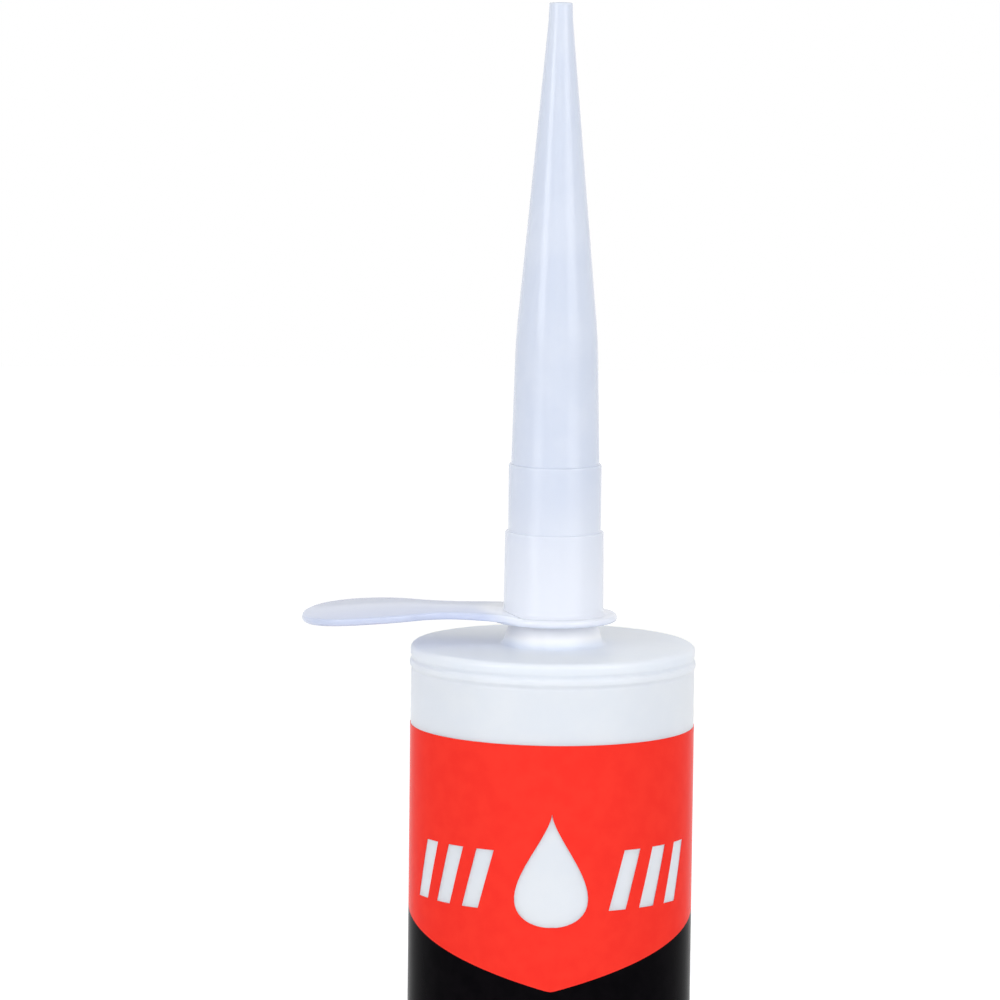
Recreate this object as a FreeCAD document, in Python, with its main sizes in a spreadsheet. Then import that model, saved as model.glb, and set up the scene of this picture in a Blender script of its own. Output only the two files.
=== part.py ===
"""Sealant cartridge with its screw-on nozzle, standing on its open rear end.

Frame: origin at the centre of the rear rim, +Z up the barrel towards the nozzle, -Y is the
printed front, and the nozzle's spatula points along -X. Millimetres.

Pieces: the barrel (one moulding with shoulder and neck), the nozzle (one moulding with flange
and spatula), the piston, the sealant paste, and the two fields of ink on the barrel.
"""
import FreeCAD
import Part
import Sketcher
import math
import os

from FreeCAD import Vector

# Driving sizes, in millimetres unless the name says otherwise
SIZES = {
    # Barrel tube
    "barrel_radius": 25.0,
    "barrel_wall": 1.4,
    "barrel_height": 215.0,
    "base_edge_chamfer": 0.3,
    "lead_in_step": 0.2,
    "lead_in_depth": 14.0,
    "lead_in_taper": 1.5,
    # Shoulder disc and the beads under its rim
    "shoulder_thickness": 2.0,
    "shoulder_edge_side": 0.6,
    "shoulder_edge_mid": 0.18,
    "inner_corner_chamfer": 1.0,
    "rim_stand_out": 0.1,
    "rim_height": 1.9,
    "groove_depth": 0.25,
    "bead_stand_out": 0.25,
    "bead_height": 0.8,
    "lower_groove_depth": 0.12,
    "ramp_height": 0.5,
    # Neck, with the collar that the nozzle seats on and the membrane that is pierced
    "neck_collar_foot_radius": 8.95,
    "neck_collar_top_radius": 7.6,
    "neck_collar_height": 4.2,
    "neck_radius": 7.05,
    "neck_bore_radius": 5.2,
    "neck_length": 13.6,
    "neck_edge": 0.5,
    "membrane_thickness": 0.8,
    # Nozzle
    "neck_clearance": 0.15,
    "head_room": 1.2,
    "flange_radius": 11.2,
    "flange_thickness": 1.3,
    "flange_chamfer": 0.4,
    "collar_foot_radius": 8.75,
    "collar_top_radius": 8.75,
    "lower_collar_height": 15.9,
    "upper_collar_radius": 8.17,
    "upper_collar_height": 11.9,
    "collar_chamfer": 0.35,
    "sleeve_foot_radius": 7.75,
    "sleeve_top_radius": 7.22,
    "sleeve_height": 21.9,
    "sleeve_wall": 1.3,
    "cone_top_radius": 2.05,
    "cone_height": 55.8,
    "cone_blend_radius": 100.0,
    "tip_radius": 2.05,
    "tip_height": 3.2,
    "tip_chamfer": 0.2,
    "outlet_radius": 1.35,
    # Spatula, moulded in one with the nozzle's flange
    "spatula_reach": 44.3,
    "spatula_thickness": 1.3,
    "spatula_root_place": 7.8,
    "spatula_root_half_width": 8.1,
    "spatula_neck_place": 17.0,
    "spatula_neck_half_width": 7.3,
    "spatula_neck_radius": 12.0,
    "spatula_blade_setback": 9.8,
    "spatula_blade_half_width": 12.9,
    "spatula_corner_margin": 0.8,
    "spatula_ramp_place": 13.0,
    "spatula_rise": 0.88,
    "spatula_bow_radius": 230.0,
    "spatula_bow_place": 19.5,
    # Piston
    "piston_place": 16.0,
    "piston_height": 16.0,
    "piston_lip_clearance": 0.05,
    "piston_skirt_inset": 0.35,
    "piston_skirt_wall": 1.3,
    "piston_lip_height": 1.1,
    "piston_crown_radius": 18.4,
    "piston_crown_rise": 0.8,
    "piston_crown_wall": 1.5,
    "piston_land_width": 4.0,
    "piston_boss_radius": 4.5,
    "piston_rib_root": 3.3,
    "piston_rib_inset": 3.0,
    "piston_rib_thickness": 1.2,
    "piston_rib_count": 6,
    # Sealant paste
    "paste_clearance": 0.1,
    # Ink on the barrel
    "print_thickness": 0.1,
    "print_top_margin": 14.2,
    "print_bottom_margin": 12.0,
    "print_gap": 0.8,
    "chevron_drop": 43.4,
    "chevron_rise": 22.2,
    "black_band_drop": 8.0,
    "drop_place": 22.0,
    "drop_length": 20.0,
    "drop_width": 13.0,
    "stripe_place": 24.0,
    "stripe_length": 10.5,
    "stripe_width": 3.4,
    "stripe_pitch": 6.2,
    "stripe_first": 13.5,
    "stripe_lean": 3.0,
    "stripe_count": 3,
}

doc = FreeCAD.newDocument("cartridge")


def make_sheet():
    """Put every driving size in a spreadsheet cell of its own, named by its alias."""
    table = doc.addObject("Spreadsheet::Sheet", "Sizes")
    for row, (name, value) in enumerate(SIZES.items(), start=1):
        table.set(f"A{row}", name)
        table.set(f"B{row}", str(value))
        table.setAlias(f"B{row}", name)
    doc.recompute()
    return table


sheet = make_sheet()


def size(name):
    """Read one driving size back from the spreadsheet."""
    return float(sheet.get(name))


def total(words):
    """Work out a sum such as "barrel_height - shoulder_thickness" from the spreadsheet."""
    sign = 1.0
    result = 0.0
    for word in words.split():
        if word in ("+", "-"):
            sign = 1.0 if word == "+" else -1.0
        else:
            result += sign * size(word)
    return result


def bound(words):
    """Turn the same sum into an expression on the spreadsheet's cells."""
    return " ".join(word if word in ("+", "-") else f"Sizes.{word}" for word in words.split())


# Heights that more than one piece shares, as sums of the driving sizes
UNDERSIDE = "barrel_height - shoulder_thickness"
SEAT = "barrel_height + neck_collar_height"
NECK_TOP = SEAT + " + neck_length"
BORE = "barrel_radius - barrel_wall"
PISTON_LAND = "piston_place + piston_height"


def origin_feature(body, role):
    """Find one of a body's own origin planes or axes by its role."""
    return next(item for item in body.Origin.OriginFeatures if item.Role == role)


def tie(sketch, kind, axis, geometry, words):
    """Hold a first point at a distance that the spreadsheet gives, or on the axis itself."""
    if words:
        held = Sketcher.Constraint(kind, -1, 1, geometry, 1, total(words))
        number = sketch.addConstraint(held)
        sketch.setExpression(f"Constraints[{number}]", bound(words))
    else:
        sketch.addConstraint(Sketcher.Constraint("PointOnObject", geometry, 1, axis))


def blend_arc(before, corner, after, radius):
    """Work out the arc that rounds a corner: its first point, last point and centre."""
    back = (before - corner).normalize()
    onward = (after - corner).normalize()
    half_angle = back.getAngle(onward) / 2
    reach = radius / math.tan(half_angle)
    centre = corner + (back + onward).normalize() * (radius / math.sin(half_angle))
    return corner + back * reach, corner + onward * reach, centre


def add_blend(sketch, before_line, after_line, places, radius, words):
    """Round the corner between two lines with an arc that stays tangent to both."""
    before, corner, after = places
    first, last, centre = blend_arc(before, corner, after, radius)
    turns_left = (corner - before).cross(after - corner).z > 0
    start, end = (first, last) if turns_left else (last, first)
    start_angle = math.atan2(start.y - centre.y, start.x - centre.x)
    end_angle = math.atan2(end.y - centre.y, end.x - centre.x)
    circle = Part.Circle(centre, Vector(0, 0, 1), radius)
    arc = sketch.addGeometry(Part.ArcOfCircle(circle, start_angle, end_angle), False)
    start_point, end_point = (1, 2) if turns_left else (2, 1)
    sketch.addConstraint(Sketcher.Constraint("Tangent", before_line, 2, arc, start_point))
    sketch.addConstraint(Sketcher.Constraint("Tangent", arc, end_point, after_line, 1))
    number = sketch.addConstraint(Sketcher.Constraint("Radius", arc, radius))
    sketch.setExpression(f"Constraints[{number}]", bound(words))
    apex = sketch.addGeometry(Part.Point(corner), True)
    sketch.addConstraint(Sketcher.Constraint("PointOnObject", apex, 1, before_line))
    sketch.addConstraint(Sketcher.Constraint("PointOnObject", apex, 1, after_line))
    return apex


def profile_sketch(body, name, corners):
    """Draw a closed outline on the body's XZ plane, its corners bound to the spreadsheet.

    Each corner is a pair of sums: its distance from the axis and its height. An empty sum
    puts the corner on that axis. A third sum is the radius of an arc that rounds the corner.
    """
    sketch = body.newObject("Sketcher::SketchObject", name)
    sketch.AttachmentSupport = [(origin_feature(body, "XZ_Plane"), "")]
    sketch.MapMode = "FlatFace"
    places = [Vector(total(corner[0]), total(corner[1]), 0) for corner in corners]
    radii = [total(corner[2]) if len(corner) > 2 else 0.0 for corner in corners]
    count = len(places)
    starts = list(places)
    ends = list(places)
    for index in range(count):
        if radii[index]:
            before, after = places[index - 1], places[(index + 1) % count]
            ends[index], starts[index], _ = blend_arc(before, places[index], after, radii[index])
    for index in range(count):
        line = Part.LineSegment(starts[index], ends[(index + 1) % count])
        sketch.addGeometry(line, False)
    for index, corner in enumerate(corners):
        before_line = (index - 1) % count
        held = index
        if radii[index]:
            around = (places[index - 1], places[index], places[(index + 1) % count])
            held = add_blend(sketch, before_line, index, around, radii[index], corner[2])
        else:
            sketch.addConstraint(Sketcher.Constraint("Coincident", before_line, 2, index, 1))
        tie(sketch, "DistanceX", -2, held, corner[0])
        tie(sketch, "DistanceY", -1, held, corner[1])
    return sketch


def turned_body(name, corners):
    """Turn a closed outline about the body's vertical axis."""
    body = doc.addObject("PartDesign::Body", name)
    sketch = profile_sketch(body, name + "_profile", corners)
    turning = body.newObject("PartDesign::Revolution", name + "_turning")
    turning.Profile = sketch
    turning.ReferenceAxis = (sketch, ["V_Axis"])
    turning.Angle = 360
    doc.recompute()
    return body


def make_barrel():
    """Barrel: a thin tube, closed in front by the shoulder disc with its beaded rim and neck."""
    rim_foot = "barrel_height - rim_height"
    groove = rim_foot + " - ramp_height"
    bead_top = groove + " - ramp_height"
    bead_foot = bead_top + " - bead_height"
    lower_groove = bead_foot + " - ramp_height"
    wall_top = lower_groove + " - ramp_height"
    rim = "barrel_radius + rim_stand_out"
    lead_in = BORE + " + lead_in_step"
    corners = [
        ("barrel_radius - base_edge_chamfer", ""),
        ("barrel_radius", "base_edge_chamfer"),
        ("barrel_radius", wall_top),
        ("barrel_radius - lower_groove_depth", lower_groove),
        ("barrel_radius + bead_stand_out", bead_foot),
        ("barrel_radius + bead_stand_out", bead_top),
        ("barrel_radius - groove_depth", groove),
        (rim, rim_foot),
        (rim, "barrel_height - shoulder_edge_side"),
        (rim + " - shoulder_edge_mid", "barrel_height - shoulder_edge_mid"),
        (rim + " - shoulder_edge_side", "barrel_height"),
        ("neck_collar_foot_radius", "barrel_height"),
        ("neck_collar_top_radius", SEAT),
        ("neck_radius", SEAT),
        ("neck_radius", NECK_TOP + " - neck_edge"),
        ("neck_radius - neck_edge", NECK_TOP),
        ("", NECK_TOP),
        ("", NECK_TOP + " - membrane_thickness"),
        ("neck_bore_radius", NECK_TOP + " - membrane_thickness"),
        ("neck_bore_radius", UNDERSIDE),
        (BORE + " - inner_corner_chamfer", UNDERSIDE),
        (BORE, UNDERSIDE + " - inner_corner_chamfer"),
        (BORE, "lead_in_depth + lead_in_taper"),
        (lead_in, "lead_in_depth"),
        (lead_in, ""),
    ]
    return turned_body("barrel", corners)


def make_nozzle_stem():
    """Nozzle without its spatula: flange, two stepped collars, sleeve, cone and straight tip."""
    flange_top = SEAT + " + flange_thickness"
    lower_top = SEAT + " + lower_collar_height"
    upper_top = lower_top + " + upper_collar_height"
    sleeve_top = upper_top + " + sleeve_height"
    cone_top = sleeve_top + " + cone_height"
    tip_top = cone_top + " + tip_height"
    socket_top = NECK_TOP + " + head_room"
    socket = "neck_radius + neck_clearance"
    corners = [
        (socket, SEAT),
        ("flange_radius - flange_chamfer", SEAT),
        ("flange_radius", SEAT + " + flange_chamfer"),
        ("flange_radius", flange_top + " - flange_chamfer"),
        ("flange_radius - flange_chamfer", flange_top),
        ("collar_foot_radius", flange_top),
        ("collar_top_radius", lower_top + " - collar_chamfer"),
        ("collar_top_radius - collar_chamfer", lower_top),
        ("upper_collar_radius", lower_top),
        ("upper_collar_radius", upper_top + " - collar_chamfer"),
        ("upper_collar_radius - collar_chamfer", upper_top),
        ("sleeve_foot_radius", upper_top),
        ("sleeve_top_radius", sleeve_top, "cone_blend_radius"),
        ("cone_top_radius", cone_top),
        ("tip_radius", tip_top + " - tip_chamfer"),
        ("tip_radius - tip_chamfer", tip_top),
        ("outlet_radius", tip_top),
        ("outlet_radius", cone_top),
        ("sleeve_top_radius - sleeve_wall", sleeve_top),
        ("sleeve_top_radius - sleeve_wall", socket_top),
        (socket, socket_top),
    ]
    return turned_body("nozzle_stem", corners)


def circle_arc(centre, radius, start, end):
    """Draw the shorter arc of a circle in its XY plane between two points that lie on it."""
    halfway = ((start - centre) + (end - centre)).normalize() * radius + centre
    return Part.Arc(start, halfway, end).toShape()


def spatula_plan():
    """Spatula seen from above: a waist behind the flange, opening to a round-ended blade.

    One side is a straight root, a hollow arc at the waist, a full arc along the blade and a
    tighter arc at its corner. Each is tangent to the next, and an arc across the tip ends it.
    """
    waist_radius = size("spatula_neck_radius")
    setback = size("spatula_blade_setback")
    blade_place = size("spatula_reach") - setback
    corner_radius = setback - size("spatula_corner_margin")
    root = Vector(-size("spatula_root_place"), -size("spatula_root_half_width"), 0)
    widening = size("spatula_blade_half_width") - size("spatula_neck_half_width")
    run = blade_place - size("spatula_neck_place")
    side_radius = (run ** 2 + widening ** 2) / (2 * widening) - waist_radius
    corner_height = size("spatula_blade_half_width") - corner_radius
    tip_gain = setback ** 2 + corner_height ** 2 - corner_radius ** 2
    tip_radius = tip_gain / (2 * size("spatula_corner_margin"))

    neck = Vector(-size("spatula_neck_place"), -size("spatula_neck_half_width"), 0)
    widest = Vector(-blade_place, -size("spatula_blade_half_width"), 0)
    tip = Vector(-size("spatula_reach"), 0, 0)
    waist_centre = neck - Vector(0, waist_radius, 0)
    side_centre = widest + Vector(0, side_radius, 0)
    corner_centre = widest + Vector(0, corner_radius, 0)
    tip_centre = tip + Vector(tip_radius, 0, 0)

    sight = waist_centre - root
    reach = math.sqrt(sight.Length ** 2 - waist_radius ** 2)
    aside = math.asin(waist_radius / sight.Length)
    heading = math.atan2(sight.y, sight.x) - aside
    waist_start = root + Vector(math.cos(heading), math.sin(heading), 0) * reach
    waist_end = waist_centre + (side_centre - waist_centre).normalize() * waist_radius
    corner_end = tip_centre + (corner_centre - tip_centre).normalize() * tip_radius
    near_side = [
        Part.makeLine(root, waist_start),
        circle_arc(waist_centre, waist_radius, waist_start, waist_end),
        circle_arc(side_centre, side_radius, waist_end, widest),
        circle_arc(corner_centre, corner_radius, widest, corner_end),
    ]
    origin = Vector(0, 0, 0)
    across = Vector(0, 1, 0)
    far_side = [edge.mirror(origin, across) for edge in near_side]
    far_root = Vector(root.x, -root.y, 0)
    far_corner = Vector(corner_end.x, -corner_end.y, 0)
    ends = [Part.Arc(corner_end, tip, far_corner).toShape(), Part.makeLine(far_root, root)]
    return Part.Face(Part.Wire(Part.sortEdges(near_side + ends + far_side)[0]))


def bow_height(place):
    """Height of the spatula's middle line above the flange's, at a distance from the axis."""
    radius = size("spatula_bow_radius")
    aside = place - size("spatula_bow_place")
    return size("spatula_rise") + math.sqrt(radius ** 2 - aside ** 2) - radius


def spatula_strip():
    """Spatula seen from the side: a short ramp up from the flange, then a long bow outwards."""
    middle = total(SEAT) + size("flange_thickness") / 2
    half = size("spatula_thickness") / 2
    root = size("spatula_root_place")
    ramp = size("spatula_ramp_place")
    end = size("spatula_reach") + size("spatula_thickness")
    halfway = (ramp + end) / 2
    edges = []
    for side in (-half, half):
        level = middle + side
        start = Vector(-ramp, 0, level + bow_height(ramp))
        crest = Vector(-halfway, 0, level + bow_height(halfway))
        finish = Vector(-end, 0, level + bow_height(end))
        edges.append(Part.makeLine(Vector(-root, 0, level), start))
        edges.append(Part.Arc(start, crest, finish).toShape())
    low, high = middle - half, middle + half
    edges.append(Part.makeLine(Vector(-root, 0, low), Vector(-root, 0, high)))
    droop = bow_height(end)
    edges.append(Part.makeLine(Vector(-end, 0, low + droop), Vector(-end, 0, high + droop)))
    return Part.Face(Part.Wire(Part.sortEdges(edges)[0]))


def make_spatula():
    """Spatula blade: the solid that its plan and its bowed side view have in common."""
    wide = 2 * size("spatula_blade_half_width")
    tall = size("spatula_reach")
    plan = spatula_plan()
    plan.translate(Vector(0, 0, total(SEAT) - tall))
    strip = spatula_strip()
    strip.translate(Vector(0, -wide, 0))
    plan_block = plan.extrude(Vector(0, 0, 2 * tall))
    strip_block = strip.extrude(Vector(0, 2 * wide, 0))
    return plan_block.common(strip_block).Solids[0]


def make_nozzle():
    """Nozzle: the turned stem and the spatula as one moulding."""
    stem = make_nozzle_stem()
    blade = doc.addObject("Part::Feature", "spatula")
    blade.Shape = make_spatula()
    nozzle = doc.addObject("Part::MultiFuse", "nozzle")
    nozzle.Shapes = [stem, blade]
    nozzle.Refine = True
    doc.recompute()
    return nozzle


def make_piston():
    """Piston: a thin cup open to the rear, with a raised crown, two wiping lips and ribs."""
    lip = BORE + " - piston_lip_clearance"
    skirt = lip + " - piston_skirt_inset"
    inside = skirt + " - piston_skirt_wall"
    land = skirt + " - piston_land_width"
    crown = PISTON_LAND + " + piston_crown_rise"
    under_land = PISTON_LAND + " - piston_crown_wall"
    upper_lip_foot = PISTON_LAND + " - piston_lip_height"
    boss_foot = "piston_place + piston_rib_inset"
    corners = [
        ("", crown),
        ("piston_crown_radius", crown),
        (land, PISTON_LAND),
        (lip, PISTON_LAND),
        (lip, upper_lip_foot),
        (skirt, upper_lip_foot + " - piston_skirt_inset"),
        (skirt, "piston_place + piston_lip_height"),
        (lip, "piston_place"),
        (inside, "piston_place"),
        (inside, under_land),
        ("piston_boss_radius", under_land),
        ("piston_boss_radius", boss_foot),
        ("", boss_foot),
    ]
    body = turned_body("piston", corners)
    rib_corners = [
        ("piston_rib_root", boss_foot),
        (inside + " + piston_skirt_inset", boss_foot),
        (inside + " + piston_skirt_inset", PISTON_LAND + " - piston_skirt_inset"),
        ("piston_rib_root", PISTON_LAND + " - piston_skirt_inset"),
    ]
    outline = profile_sketch(body, "rib_outline", rib_corners)
    rib = body.newObject("PartDesign::Pad", "rib")
    rib.Profile = outline
    rib.SideType = "Symmetric"
    rib.setExpression("Length", "Sizes.piston_rib_thickness")
    doc.recompute()
    ribs = body.newObject("PartDesign::PolarPattern", "ribs")
    ribs.Originals = [rib]
    ribs.Axis = (outline, ["V_Axis"])
    ribs.Angle = 360
    ribs.setExpression("Occurrences", "Sizes.piston_rib_count")
    body.Tip = ribs
    doc.recompute()
    return body


def make_paste():
    """Sealant: it fills the barrel from the piston's crown to the shoulder, and the neck."""
    side = BORE + " - paste_clearance"
    land = BORE + " - piston_lip_clearance - piston_skirt_inset - piston_land_width"
    neck_side = "neck_bore_radius - paste_clearance"
    top = UNDERSIDE + " - paste_clearance"
    neck_top = NECK_TOP + " - membrane_thickness - paste_clearance"
    corners = [
        ("", PISTON_LAND + " + piston_crown_rise + paste_clearance"),
        ("piston_crown_radius", PISTON_LAND + " + piston_crown_rise + paste_clearance"),
        (land, PISTON_LAND + " + paste_clearance"),
        (side, PISTON_LAND + " + paste_clearance"),
        (side, top + " - inner_corner_chamfer"),
        (side + " - inner_corner_chamfer", top),
        (neck_side, top),
        (neck_side, neck_top),
        ("", neck_top),
    ]
    return turned_body("sealant", corners)


# Ink: each field is drawn flat, as distance round the barrel from the front and height, then
# wrapped on the barrel's surface and given its thickness
def barrel_surface():
    """Outer surface of the barrel, its seam at the back."""
    surface = Part.Cylinder()
    surface.Radius = size("barrel_radius")
    quarter_turn = FreeCAD.Rotation(Vector(0, 0, 1), 90)
    surface.rotate(FreeCAD.Placement(Vector(0, 0, 0), quarter_turn))
    return surface


def wrapped(girth, height):
    """Place a point of the flat drawing in the surface's own angle and height."""
    return FreeCAD.Base.Vector2d(math.pi + girth / size("barrel_radius"), height)


def wrapped_polygon(surface, corners):
    """Wrap a straight-sided outline on the surface."""
    edges = []
    for index, corner in enumerate(corners):
        following = corners[(index + 1) % len(corners)]
        line = Part.Geom2d.Line2dSegment(wrapped(*corner), wrapped(*following))
        edges.append(line.toShape(surface))
    return Part.Wire(edges)


def wrapped_drop(surface, height):
    """Wrap the outline of a falling drop, pointed on top, on the front of the surface."""
    spans_a_side = 8
    widest_turn = math.radians(120)
    fullest = math.sin(widest_turn) * math.sin(widest_turn / 2) ** 2
    half_width = size("drop_width") / 2 / fullest
    half_length = size("drop_length") / 2
    edges = []
    for start in (0, math.pi):
        points = []
        for step in range(spans_a_side + 1):
            turn = start + math.pi * step / spans_a_side
            girth = half_width * math.sin(turn) * math.sin(turn / 2) ** 2
            points.append(wrapped(girth, height + half_length * math.cos(turn)))
        curve = Part.Geom2d.BSplineCurve2d()
        curve.interpolate(points)
        edges.append(curve.toShape(surface))
    return Part.Wire(edges)


def ink_field(name, surface, outlines, knock_outs):
    """Make one field of ink: faces on the barrel, with bare shapes left out, thickened."""
    faces = [Part.Face(surface, outline) for outline in outlines]
    if knock_outs:
        faces[0].cutHoles(knock_outs)
        faces[0].fix(0.001, 0.001, 0.01)
    skin = faces[0]
    if len(faces) > 1:
        skin = Part.Compound(faces)
        skin.sewShape()
        skin = skin.Shells[0]
    field = doc.addObject("Part::Feature", name)
    field.Shape = skin.makeOffsetShape(size("print_thickness"), 0.001, fill=True)
    return field


def make_print():
    """Ink on the barrel: red above a chevron that points down in front, black below it."""
    surface = barrel_surface()
    half_girth = math.pi * size("barrel_radius") - size("print_gap") / 2
    top = total("barrel_height - print_top_margin")
    point = top - size("chevron_drop")
    side = point + size("chevron_rise")
    bottom = size("print_bottom_margin")
    red_outline = [
        (-half_girth, top),
        (-half_girth, side),
        (0, point),
        (half_girth, side),
        (half_girth, top),
    ]
    waist = point - size("black_band_drop")
    black_peaks = [
        (-half_girth, side),
        (-half_girth, waist),
        (half_girth, waist),
        (half_girth, side),
        (0, point),
    ]
    black_band = [
        (-half_girth, waist),
        (-half_girth, bottom),
        (half_girth, bottom),
        (half_girth, waist),
    ]
    knock_outs = [wrapped_drop(surface, top - size("drop_place"))]
    middle = top - size("stripe_place")
    half_width = size("stripe_width") / 2
    half_length = size("stripe_length") / 2
    half_lean = size("stripe_lean") / 2
    for direction in (-1, 1):
        for number in range(int(size("stripe_count"))):
            place = direction * (size("stripe_first") + number * size("stripe_pitch"))
            corners = [
                (place - half_width - half_lean, middle - half_length),
                (place + half_width - half_lean, middle - half_length),
                (place + half_width + half_lean, middle + half_length),
                (place - half_width + half_lean, middle + half_length),
            ]
            knock_outs.append(wrapped_polygon(surface, corners))
    red_outlines = [wrapped_polygon(surface, red_outline)]
    black_outlines = [wrapped_polygon(surface, part) for part in (black_peaks, black_band)]
    red = ink_field("red_print", surface, red_outlines, knock_outs)
    black = ink_field("black_print", surface, black_outlines, [])
    return [red, black]


def check_objects():
    """Stop if any object of the document failed."""
    for item in doc.Objects:
        for word in ("Invalid", "Error"):
            if word in item.State:
                raise RuntimeError(f"{item.Name} is {item.State}")


def write_pieces(pieces):
    """Check each piece's solid and write it to a file of its own, named by its label."""
    os.makedirs("parts", exist_ok=True)
    for piece in pieces:
        shape = piece.Shape
        if shape.isNull() or not shape.isValid():
            raise RuntimeError(f"{piece.Label} has no valid shape")
        shape.exportStep(f"parts/{piece.Label}.step")
        print(f"{piece.Label}: {len(shape.Solids)} solid, {shape.Volume:.1f} mm3")


pieces = [make_barrel(), make_nozzle(), make_piston(), make_paste()] + make_print()
doc.recompute()
check_objects()
write_pieces(pieces)
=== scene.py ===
# %% [markdown]
# # A sealant cartridge with its nozzle
#
# The cartridge is a thin plastic barrel full of paste. A piston closes its open rear end, a
# conical nozzle screws on its neck, and a flat spatula grows out of the nozzle's flange. The
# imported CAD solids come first, because every piece made here has to sit exactly where they do.

import math

import bmesh
import bpy
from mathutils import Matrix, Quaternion, Vector


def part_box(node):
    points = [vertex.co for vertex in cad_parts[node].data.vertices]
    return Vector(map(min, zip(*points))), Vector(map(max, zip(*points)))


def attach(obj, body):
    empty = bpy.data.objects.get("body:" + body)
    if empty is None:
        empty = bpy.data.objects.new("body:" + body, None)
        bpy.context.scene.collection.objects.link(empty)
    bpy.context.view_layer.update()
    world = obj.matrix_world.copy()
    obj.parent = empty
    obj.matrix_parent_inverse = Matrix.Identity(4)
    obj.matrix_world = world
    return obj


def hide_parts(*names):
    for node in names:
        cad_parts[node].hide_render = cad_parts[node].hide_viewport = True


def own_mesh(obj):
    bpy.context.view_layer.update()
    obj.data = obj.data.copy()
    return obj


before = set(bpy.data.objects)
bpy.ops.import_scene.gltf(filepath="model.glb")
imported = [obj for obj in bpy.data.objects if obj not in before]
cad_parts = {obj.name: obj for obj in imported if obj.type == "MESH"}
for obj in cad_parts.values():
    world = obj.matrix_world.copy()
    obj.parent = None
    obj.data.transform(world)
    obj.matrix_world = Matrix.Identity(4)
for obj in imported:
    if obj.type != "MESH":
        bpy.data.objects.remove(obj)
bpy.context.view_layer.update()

# %% [markdown]
# ## Driving sizes
#
# Everything below is worked out from these numbers, in millimetres. Heights are stacked: each
# one starts where the last ended, the way a designer would dimension a turned part.

# %% Driving sizes
MM = 0.001

BARREL_RADIUS = 25.0
BARREL_WALL = 1.4
BARREL_HEIGHT = 215.0
SHOULDER = 2.0
NECK_COLLAR_HEIGHT = 4.2
NECK_LENGTH = 13.6
NECK_CREST = 7.05
THREAD_DEPTH = 0.6
NECK_BORE = 5.2

SEAT = BARREL_HEIGHT + NECK_COLLAR_HEIGHT
NECK_TOP = SEAT + NECK_LENGTH
UNDERSIDE = BARREL_HEIGHT - SHOULDER
BORE = BARREL_RADIUS - BARREL_WALL
AXIS = 0.0

barrel_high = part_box("barrel")[1]
print("barrel: neck top", NECK_TOP, "mm, CAD", round(barrel_high.z / MM, 3), "mm")

# %% [markdown]
# ## Outlines with soft corners
#
# Moulded plastic has no razor edges, and even a 0.2 mm round catches the light. An outline here
# is a list of corners, each with its own round, and this helper swaps every corner for an arc.

# %% Outlines with soft corners
ARC_STEP = math.radians(18)


def rounded_outline(corners):
    """Follow a closed outline of (radius, height, round) corners, in millimetres."""
    points = []
    for index, (radius, height, softness) in enumerate(corners):
        corner = Vector((radius, height))
        if softness == 0:
            points.append(corner)
            continue
        back = (Vector(corners[index - 1][:2]) - corner).normalized()
        onward = (Vector(corners[(index + 1) % len(corners)][:2]) - corner).normalized()
        half_angle = back.angle(onward) / 2
        reach = softness / math.tan(half_angle)
        centre = corner + (back + onward).normalized() * softness / math.sin(half_angle)
        first = corner + back * reach - centre
        last = corner + onward * reach - centre
        start = math.atan2(first.y, first.x)
        turn = math.remainder(math.atan2(last.y, last.x) - start, math.tau)
        steps = max(2, math.ceil(abs(turn) / ARC_STEP))
        for step in range(steps + 1):
            angle = start + turn * step / steps
            points.append(centre + Vector((math.cos(angle), math.sin(angle))) * softness)
    return points


print("a square corner becomes", math.ceil(math.radians(90) / ARC_STEP), "short edges")

# %% [markdown]
# ## Turning an outline into a shell
#
# Barrel, nozzle, piston and paste are all round about one axis, so one Geometry Nodes tree makes
# them all. It lays a flat grid whose columns are steps round the axis and whose rows are the
# points of the outline, looks up each row's radius and height, and bends the grid into a shell.
# Merge by Distance then closes the seam and the poles.

# %% Node helpers
def add_node(tree, kind, **sockets):
    """Add a node and set its inputs: a value is stored, an output socket is linked."""
    node = tree.nodes.new(kind)
    for name, value in sockets.items():
        connect(tree, node, name.replace("_", " "), value)
    return node


def connect(tree, node, name, value):
    """Set one input of a node by its name, or by its number."""
    socket = node.inputs[int(name) if name.strip().isdigit() else name]
    if isinstance(value, bpy.types.NodeSocket):
        tree.links.new(value, socket)
    else:
        socket.default_value = value


def calculate(tree, operation, first, second=0.0):
    """Add a Math node and return its result."""
    node = tree.nodes.new("ShaderNodeMath")
    node.operation = operation
    connect(tree, node, "0", first)
    connect(tree, node, "1", second)
    return node.outputs[0]


def new_tree(name, kind, inputs, outputs):
    """Make a node group with named inputs (name, socket type, default) and outputs."""
    tree = bpy.data.node_groups.new(name, kind)
    for label, socket_type, default in inputs:
        socket = tree.interface.new_socket(label, in_out="INPUT", socket_type=socket_type)
        if default is not None:
            socket.default_value = default
    for label, socket_type in outputs:
        tree.interface.new_socket(label, in_out="OUTPUT", socket_type=socket_type)
    return tree, tree.nodes.new("NodeGroupInput"), tree.nodes.new("NodeGroupOutput")


def finish_geometry(tree, result, source, target):
    """End a Geometry Nodes tree: realize what is instanced and give it the material."""
    real = add_node(tree, "GeometryNodeRealizeInstances", Geometry=result)
    dressed = add_node(
        tree,
        "GeometryNodeSetMaterial",
        Geometry=real.outputs[0],
        Material=source.outputs["Material"],
    )
    tree.links.new(dressed.outputs[0], target.inputs[0])


# %% Turned shell
MERGE_DISTANCE = 0.001 * MM


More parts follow.
